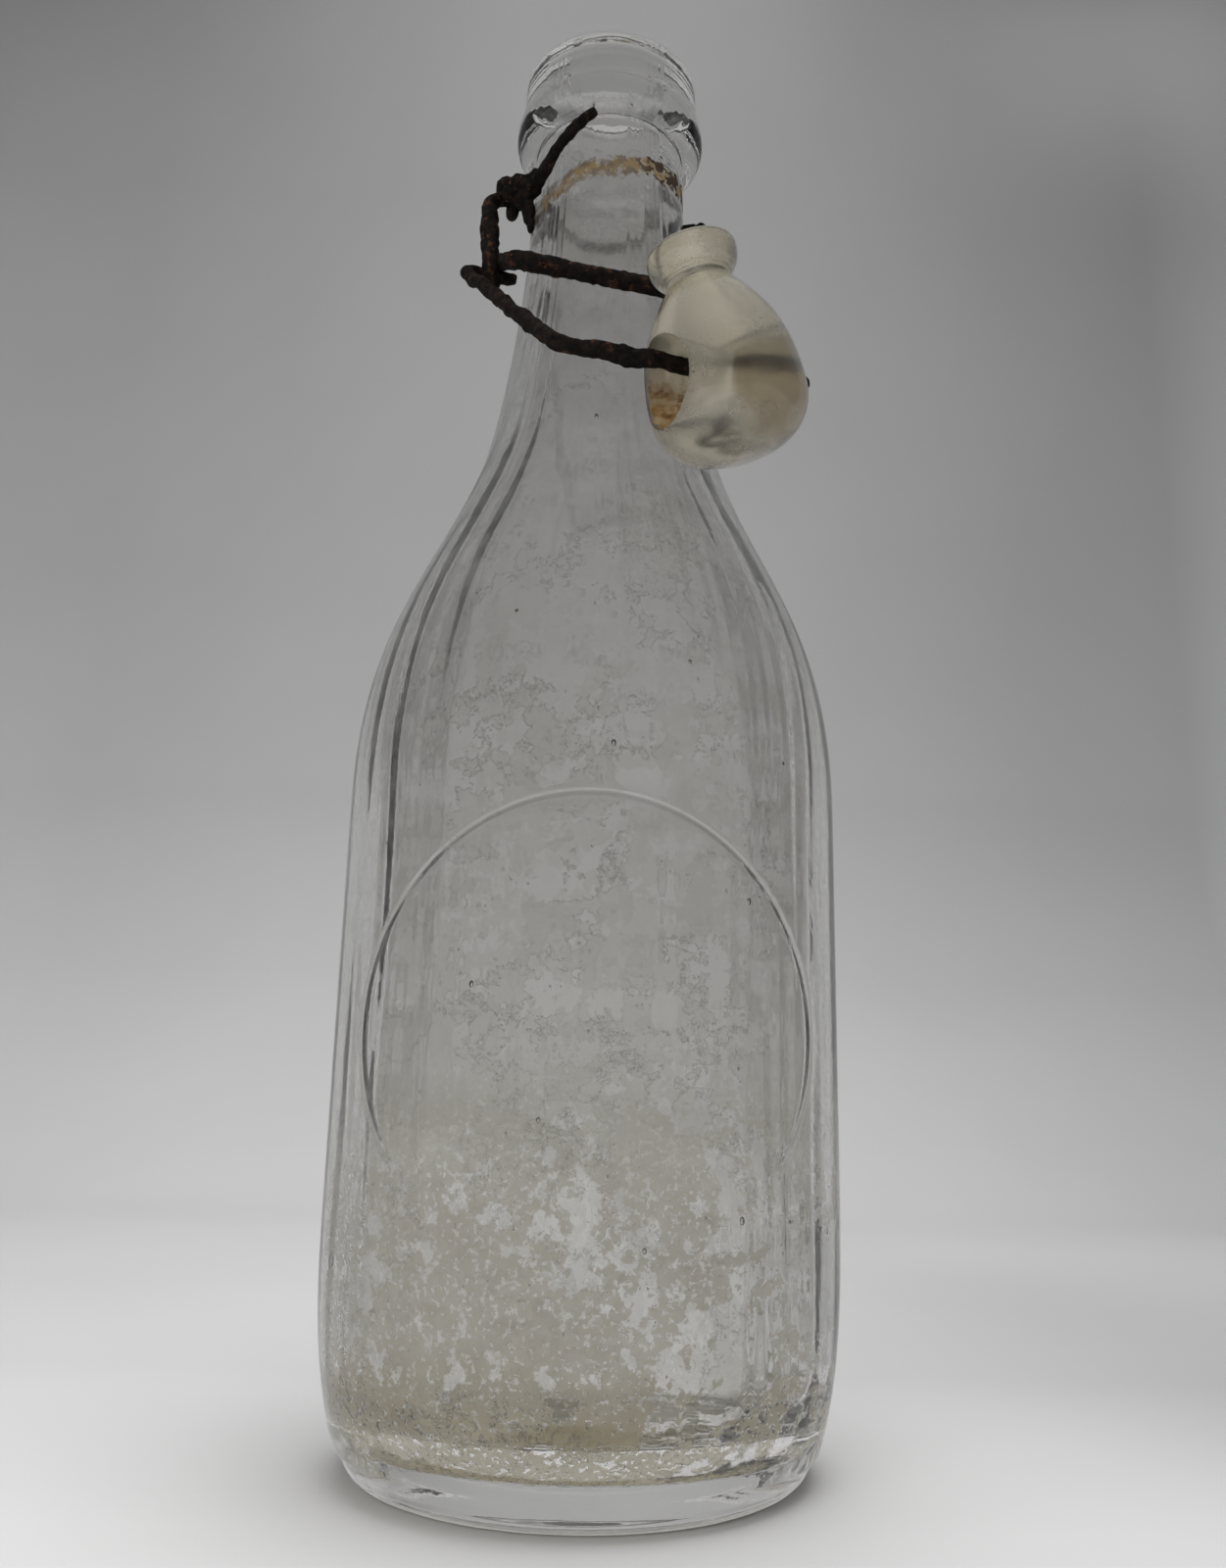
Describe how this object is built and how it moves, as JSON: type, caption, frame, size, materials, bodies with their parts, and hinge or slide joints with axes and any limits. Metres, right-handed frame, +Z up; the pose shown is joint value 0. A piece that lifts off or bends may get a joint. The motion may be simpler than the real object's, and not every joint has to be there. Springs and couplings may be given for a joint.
{
  "type": "pharmacy bottle with swing closure",
  "caption": "Clear glass pharmacy bottle with a tooled lip, a wire lever and bail on a neck tie wire, and a solid glass stopper that hangs on the bail.",
  "frame": {"origin": "centre of the bottle's flat base, on the surface that it stands on", "axes": "+Z up along the bottle's axis to the lip; the closure's hinges run along X and its lever, bail and stopper hang forward of the neck, towards -Y"},
  "size_m": [0.069, 0.0766, 0.2099],
  "materials": {
    "clear_glass": "clear, faintly grey old glass with haze inside",
    "tie_wire_iron": "dark rusted iron wire, scaled",
    "lever_iron": "dark rusted iron wire, scaled",
    "bail_iron": "dark rusted iron wire, scaled",
    "straw_glass": "straw-tinted solid glass, rust stained in its hole"
  },
  "bodies": {
    "glass": {"bottle": "clear_glass", "neck_wire": "tie_wire_iron"},
    "lever": {"lever": "lever_iron"},
    "bail": {"bail": "bail_iron"},
    "stopper": {"stopper": "straw_glass"}
  },
  "joints": [
    {"name": "lever_hinge", "type": "hinge", "parent": "glass", "child": "lever", "pos_m": [0, 0, 0.1854], "axis": [-1, 0, 0], "range_deg": [0, 106]},
    {"name": "bail_hinge", "type": "hinge", "parent": "lever", "child": "bail", "pos_m": [0, -0.001, 0.1707], "axis": [-1, 0, 0], "range_deg": [0, 50]},
    {"name": "stopper_swivel", "type": "hinge", "parent": "bail", "child": "stopper", "pos_m": [0.008, -0.0315, 0.1413], "axis": [-1, 0, 0], "range_deg": [-100, 40]}
  ]
}
